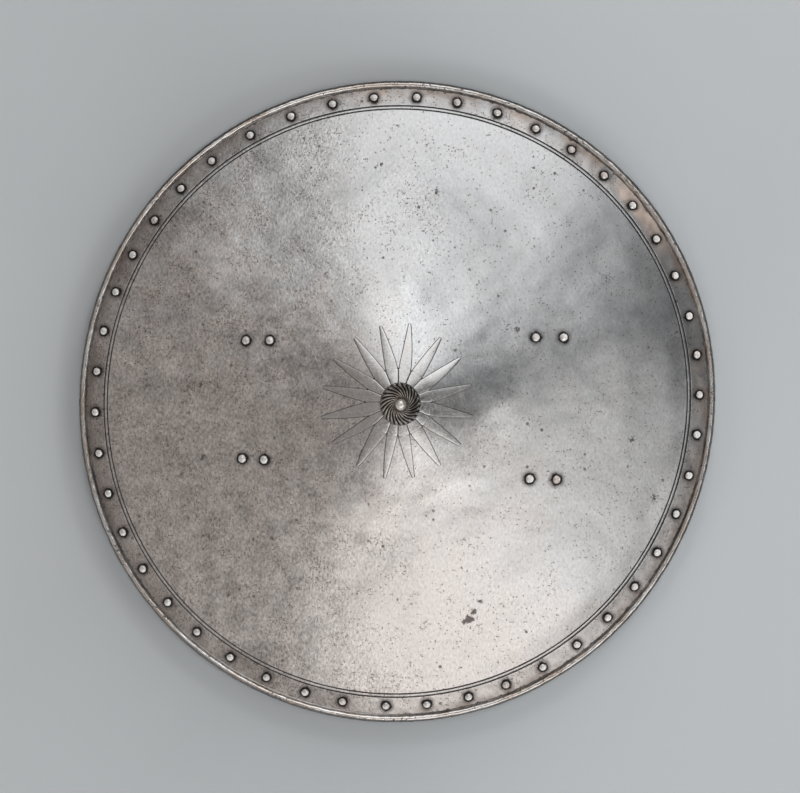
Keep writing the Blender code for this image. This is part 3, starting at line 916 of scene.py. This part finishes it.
def star_washer():
    """Nearly flat rays, joined under the button and parted by slits that end in a round hole."""
    points, faces, edge = [], [], []
    rng = np.random.default_rng(8)

    def sides(half_width):
        """Distances from the ray's middle, on one side and the other."""
        out = [share * half_width for share in INNER_COLUMNS]
        for index, inset in enumerate(EDGE_COLUMNS):
            out.append(max(half_width - inset, half_width * (0.8 + 0.04 * index)))
        out = np.maximum.accumulate(np.minimum(out, half_width))
        return np.concatenate([-out[:0:-1], out])

    def add_row(middle, distance, half_width, twist=0.0, fan=False):
        """Adds a row of points across a ray, or across its share of the joined middle as a fan."""
        side = sides(half_width)
        if fan:
            angles = middle + side / distance
            flat = np.stack([distance * np.cos(angles), distance * np.sin(angles)], 1)
        else:
            across = np.array((-math.sin(middle), math.cos(middle)))
            along = np.array((math.cos(middle), math.sin(middle)))
            flat = distance * along + side[:, None] * across
        flat += np.array(STAR_CENTRE)
        inset = half_width - np.abs(side)
        share = side / half_width
        arch = 0 if fan else STAR_ARCH * (1 - share**2) + twist * side
        worn = STAR_WORN_EDGE * smooth_step(inset, 0.8 * MM, 0.1 * MM)
        fall = 0 if fan else worn + STAR_CUT_EDGE * smooth_step(inset, 0.25 * MM, 0)
        height = height_at(flat[:, 0], flat[:, 1]) + GAP + STAR_THICKNESS + arch - fall
        first = len(points)
        points.extend(np.column_stack([flat, height]))
        edge.extend(np.full(len(side), 1.0) if fan else inset)
        return first

    columns = len(sides(1.0))
    for ray in range(STAR_RAYS):
        bend, extra_length = STAR_ASKEW.get(ray, (0, 0))
        slits = [
            slit * math.tau / STAR_RAYS + math.radians(SLITS_ASKEW.get(slit % STAR_RAYS, 0))
            for slit in (ray, ray + 1)
        ]
        middle, half_turn = sum(slits) / 2, (slits[1] - slits[0]) / 2
        tip_bearing = (ray + 0.5) * math.tau / STAR_RAYS + math.radians(bend)
        start = STAR_NOTCH * math.cos(half_turn)
        reach = STAR_REACH + extra_length * MM
        tilt = RAY_TILTS.get(ray, 0) + rng.normal(0, RAY_TILT_SPREAD)
        rows = [
            add_row(middle, distance, distance * half_turn, fan=True)
            for distance in np.linspace(STAR_BORE, STAR_JOINED_TO - 1 * MM, 4)
        ]
        for distance, half_width in ray_stations(reach, half_turn):
            along = max(0, (distance - start) / (reach - start))
            turned = middle + (tip_bearing - middle) * along
            rows.append(add_row(turned, distance, half_width, tilt * smooth_step(along, 0, 0.2)))
        for near, far in zip(rows, rows[1:]):
            for c in range(columns - 1):
                faces.append((near + c, far + c, far + c + 1, near + c + 1))
    star = new_object("star_washer_sheet", points, faces, [star_steel()])
    set_attribute(star, "edge_distance", edge)
    weld = star.modifiers.new("Join rays", "WELD")
    weld.merge_threshold = 0.01 * MM
    shell = star.modifiers.new("Sheet thickness", "SOLIDIFY")
    shell.thickness = 0.75 * STAR_THICKNESS
    shell.offset = -1
    stand_for(star, "star_washer")


# Section of the button. Two radii say where the flutes and their dome start. The rest are shares
# of the button's height: the knob's shoulder and foot, the dome's foot, and where the flutes fade
# and the knob turns bright.
FLUTES_START = 1.1 * KNOB_RADIUS
DOME_TOP_RADIUS = 1.12 * KNOB_RADIUS
KNOB_SHOULDER = 0.86
KNOB_FOOT = 0.76
DOME_FOOT = 0.10
FLUTES_FADE = (0.02, 0.12)
KNOB_BRIGHTENS = (0.80, 0.88)

# The button's peened end: its solid's height, and the radius and fall of its section from the top
# down, in millimetres
BUTTON_PEEN_HEIGHT = 1.5 * MM
BUTTON_PEEN = ((5.4, 0), (5.2, 0.7), (4.1, 1.4), (0, 1.45))


def button_section():
    """(radius, height as a share) of the knob and of the fluted dome, from the top down."""
    knob = []
    for turn in np.radians((10, 22, 34, 46, 58, 70, 82, 92)):
        rise = (1 - KNOB_SHOULDER) * math.cos(turn)
        knob.append((KNOB_RADIUS * math.sin(turn), KNOB_SHOULDER + rise))
    knob += [(0.99 * KNOB_RADIUS, 0.81), (KNOB_RADIUS, KNOB_FOOT)]
    dome = []
    for turn in np.linspace(0, math.pi / 2, 26):
        radius = DOME_TOP_RADIUS + (BUTTON_RADIUS - DOME_TOP_RADIUS) * math.sin(turn)
        rise = (KNOB_FOOT - DOME_FOOT) * math.cos(turn) ** 0.95
        dome.append((radius, DOME_FOOT + rise))
    dome += [(BUTTON_RADIUS, 0.06), (0.985 * BUTTON_RADIUS, 0.02), (0.94 * BUTTON_RADIUS, 0)]
    return knob, dome


def boss_button():
    """The button, leaning a little, with its shank and the peened end inside."""
    low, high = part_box("boss_button")
    base = high.z - BUTTON_HEIGHT - BUTTON_TOP_CLEARANCE
    peen_top = low.z + BUTTON_PEEN_HEIGHT - base
    hollows, knobs = [], []

    def turned(radius, height, fluted=0.0, knob_share=0.0):
        """Places a ring, with the flutes cut inwards and down and twisted round the knob."""

        def place(angles):
            outward = np.clip((radius - FLUTES_START) / (BUTTON_RADIUS - FLUTES_START), 0, 1)
            ridge = np.abs(np.sin(0.5 * BUTTON_FLUTES * angles)) ** 0.9
            hollow = (1 - ridge) * fluted
            hollows.extend(np.broadcast_to(hollow, angles.shape))
            knobs.extend([knob_share] * len(angles))
            depth = FLUTE_DEPTH * hollow * (0.45 + 0.55 * outward)
            turn = angles - BUTTON_TWIST * (1 - math.sqrt(outward)) * (1 if fluted else 0)
            out = radius - 0.35 * depth
            up = height - 0.8 * depth
            x, y = out * np.cos(turn) * BUTTON_OVAL[0], out * np.sin(turn) * BUTTON_OVAL[1]
            return np.column_stack([x, y, up])

        return place

    rings = Rings()
    around = BUTTON_FLUTES * 16
    knob, dome = button_section()
    rings.add(1, turned(0.0, BUTTON_HEIGHT, 0, 1.0))
    for radius, share in knob:
        bright = float(smooth_step(share, *KNOB_BRIGHTENS))
        rings.add(around, turned(radius, share * BUTTON_HEIGHT, 0, bright))
    for radius, share in dome:
        fluted = float(smooth_step(share, *FLUTES_FADE))
        rings.add(around, turned(radius, share * BUTTON_HEIGHT, fluted))
    # Underside, shank and peened end. Their rings have an eighth of the points, so the first joins
    # only a quarter of the button's edge, and the rest stays open, out of sight on the star.
    below = [(0.5 * BUTTON_RADIUS, BUTTON_UNDERSIDE), (SHANK_RADIUS, BUTTON_UNDERSIDE)]
    below.append((SHANK_RADIUS, peen_top))
    below += [(radius * MM, peen_top - fall * MM) for radius, fall in BUTTON_PEEN]
    for radius, height in below:
        rings.add(around // 8 if radius else 1, turned(radius, height))
    button = new_object("boss_button_forging", rings.points, rings.faces, [button_steel()])
    set_attribute(button, "hollow", hollows)
    set_attribute(button, "knob", knobs)
    lean_axis = (BUTTON_CENTRE - STAR_CENTRE).orthogonal().to_3d()
    lean = Matrix.Rotation(BUTTON_LEAN, 4, lean_axis)
    button.data.transform(Matrix.Translation((*BUTTON_CENTRE, base)) @ lean)
    stand_for(button, "boss_button")


# A rivet from the top down: parts of its head's radius over the crown, then down the side with the
# part of the side's height, and parts of the peened end's radius and height
RIVET_CROWN = (0.15, 0.3, 0.45, 0.6, 0.72, 0.82, 0.9)
RIVET_SIDE = ((0.95, 0.88), (0.98, 0.7), (1.0, 0.42), (1.0, 0.0))
RIVET_PEEN = ((1, 0), (1, 0.3), (0.85, 0.9), (0.6, 1))


def rivet(name, place, kind, material, rng):
    """One rivet: a slightly uneven domed head, a shank and a flat peened end."""
    radius, height = RIM_HEAD if kind == "rim" else STRAP_HEAD
    shank = 0.4 * radius
    peen = PEEN_RADII[kind]
    peen_top = -PLATE_THICKNESS - PEEN_GAP
    axis = Vector((rng.uniform(-1, 1), rng.uniform(-1, 1), 0.01)).normalized()
    tilt = Matrix.Rotation(rng.uniform(0, 0.06), 4, axis)
    oval = rng.uniform(0.94, 1.0)
    lobes_turn = rng.uniform(0, math.tau)
    foot = []

    def ring(out, up, foot_share):
        def place_ring(angles):
            lobes = out * (0.98 + 0.02 * np.cos(2 * angles + lobes_turn))
            foot.extend([foot_share] * len(angles))
            level = np.full(len(angles), up)
            return np.column_stack([lobes * np.cos(angles), oval * lobes * np.sin(angles), level])

        return place_ring

    rings = Rings()
    rings.add(1, ring(0.0, GAP + height, 0.0))
    for share in RIVET_CROWN:
        fall = CROWN_FALL * (share / RIVET_CROWN[-1]) ** 2
        rings.add(RIVET_POINTS, ring(radius * share, GAP + height - fall, share))
    for share, level in RIVET_SIDE:
        rings.add(RIVET_POINTS, ring(radius * share, GAP + (height - CROWN_FALL) * level, share))
    below = [(radius, -HEAD_SUNK), (shank, -HEAD_SUNK), (shank, peen_top)]
    below += [(peen * share, peen_top - PEEN_HEIGHT * fall) for share, fall in RIVET_PEEN]
    for out, up in below:
        rings.add(RIVET_POINTS, ring(out, up, 1.0))
    rings.add(1, ring(0.0, peen_top - PEEN_HEIGHT, 0.6))
    piece = new_object(name + "_dome", rings.points, rings.faces, [material])
    set_attribute(piece, "foot", foot)
    piece.data.transform(place @ tilt)
    stand_for(piece, name)


# ------------------------------------------------------------------ stage


FLOOR_HALF_SIZE = 8.0
# Floor colours, darker to the left and lighter to the right: a painted gradient of light from the
# right
FLOOR_LEFT_SHADED = (0.245, 0.255, 0.262, 1)
FLOOR_RIGHT_LIT = (0.275, 0.289, 0.299, 1)


def floor():
    f = Finish("studio_floor")
    cloud = f.ramp(f.noise(0.5, 2, 0.5), 0.3, 0.7, -0.1, 0.1)
    # painted light: the floor's colour grows lighter to the right
    side = f.ramp(f.math("ADD", f.coordinate(0), cloud), -0.45, 0.45)
    material = f.done(f.mix(side, FLOOR_LEFT_SHADED, FLOOR_RIGHT_LIT), 0.9, 0.0)
    size = FLOOR_HALF_SIZE
    corners = [(-size, -size, 0), (size, -size, 0), (size, size, 0), (-size, size, 0)]
    obj = new_object("studio_floor", corners, [(0, 1, 2, 3)], [material])


# Soft boxes overhead: middle and half size on a plane one metre up, turn in degrees, and radiance
SOFT_BOXES = (
    ((0.10, 0.60), (0.33, 0.385), -18, (1.46, 1.47, 1.48, 1)),
    ((0.26, -0.48), (0.457, 0.416), 6, (1.77, 1.72, 1.68, 1)),
)
SOFT_EDGE = 0.1

# Black flag that covers the inner corner of the lower box, given in the same way
FLAG = ((0.113, -0.214), (0.152, 0.342), -70, (0, 0, 0, 1))

# The room round them, which grows cooler and darker to the right over a part of the same plane
ROOM_LEFT = (0.323, 0.297, 0.280, 1)
ROOM_RIGHT = (0.270, 0.278, 0.286, 1)
ROOM_REACH = (-1.3, 1.1)
ROOM_FALL = -0.2857

# Its lower walls, dark but for a pale one towards a bearing in degrees
LOW_WALLS = (0.13, 0.13, 0.13, 1)
LOW_LAMP = (0.60, 0.59, 0.58, 1)
LOW_LAMP_BEARING = 245

# Large soft lamps low round the shield, which light the floor: bearing, height in degrees, strength
FLOOR_LAMPS = (
    (0, 10, 1.4), (30, 8, 3.3), (60, 8, 4.8), (90, 9, 3.6), (130, 9, 1.0), (210, 8, 2.0),
    (270, 8, 2.8), (300, 8, 4.7), (330, 8, 3.3),
)
FLOOR_LAMP_ANGLE = 15


def studio_world():
    """A world of two soft boxes in a grey room, given by the direction that it is seen in."""
    world = bpy.data.worlds.new("studio")
    world.use_nodes = True
    bpy.context.scene.world = world
    f = Nodes(world.node_tree, "Generated")
    x, y, z = (f.coordinate(axis) for axis in range(3))
    up = f.larger(z, 0.05)
    plane_x, plane_y = f.math("DIVIDE", x, up), f.math("DIVIDE", y, up)

    near_x = f.math("MINIMUM", f.larger(plane_x, ROOM_REACH[0]), ROOM_REACH[1])
    tint = f.mix(f.ramp(near_x, -0.4, 0.4), ROOM_LEFT, ROOM_RIGHT)
    colour = f.shaded(tint, f.scaled(near_x, ROOM_FALL, 1.0))

    def inside(middle, half, turn):
        """1 inside an oblong on the plane, with soft edges."""
        cos, sin = math.cos(math.radians(turn)), math.sin(math.radians(turn))
        dx, dy = f.math("SUBTRACT", plane_x, middle[0]), f.math("SUBTRACT", plane_y, middle[1])
        u = f.scaled(dx, cos, f.times(dy, sin))
        v = f.scaled(dx, -sin, f.times(dy, cos))
        ends = [
            f.ramp(f.math("ABSOLUTE", way), size + SOFT_EDGE / 2, size - SOFT_EDGE / 2)
            for way, size in ((u, half[0]), (v, half[1]))
        ]
        return f.times(*ends)

    for middle, half, turn, radiance in SOFT_BOXES:
        lit = f.times(inside(middle, half, turn), f.math("GREATER_THAN", z, 0.06))
        colour = f.mix(lit, colour, f.mix(1.0, colour, radiance, "ADD"))
    middle, half, turn, black = FLAG
    colour = f.mix(inside(middle, half, turn), colour, black)
    toward = math.radians(LOW_LAMP_BEARING)
    facing = f.scaled(x, math.cos(toward), f.times(y, math.sin(toward)))
    walls = f.mix(f.ramp(facing, 0.35, 0.80), LOW_WALLS, LOW_LAMP)
    colour = f.mix(f.ramp(z, 0.68, 0.52), colour, walls)
    f.feed(f.tree.nodes["Background"].inputs["Color"], colour)


def floor_lamps():
    """Lamps that light the floor and don't show in the steel."""
    for index, (bearing, height, strength) in enumerate(FLOOR_LAMPS):
        data = bpy.data.lights.new(f"floor_lamp_{index}", "SUN")
        data.angle = math.radians(FLOOR_LAMP_ANGLE)
        data.energy = strength
        lamp = bpy.data.objects.new(data.name, data)
        lamp.rotation_euler = (math.radians(90 - height), 0, math.radians(bearing + 90))
        lamp.visible_glossy = False
        bpy.context.scene.collection.objects.link(lamp)


def camera():
    data = bpy.data.cameras.new("studio_camera")
    data.sensor_width = 36
    data.lens = data.sensor_width * (CAMERA_PLACE.z - ROLL_HEIGHT) / FRAME_WIDTH
    obj = bpy.data.objects.new("studio_camera", data)
    obj.location = CAMERA_PLACE
    bpy.context.scene.collection.objects.link(obj)
    bpy.context.scene.camera = obj


def main():
    camera()
    studio_world()
    floor_lamps()
    floor()
    bpy.context.scene.view_settings.view_transform = "Standard"
    shield_plate()
    star_washer()
    boss_button()
    material = rivet_steel()
    rng = np.random.default_rng(5)
    for name, (x, y) in sorted(RIVET_AXES.items()):
        kind = "rim" if name.startswith("rim") else "strap"
        rivet(name, face_matrix(x, y), kind, material, rng)


main()
bpy.context.view_layer.update()
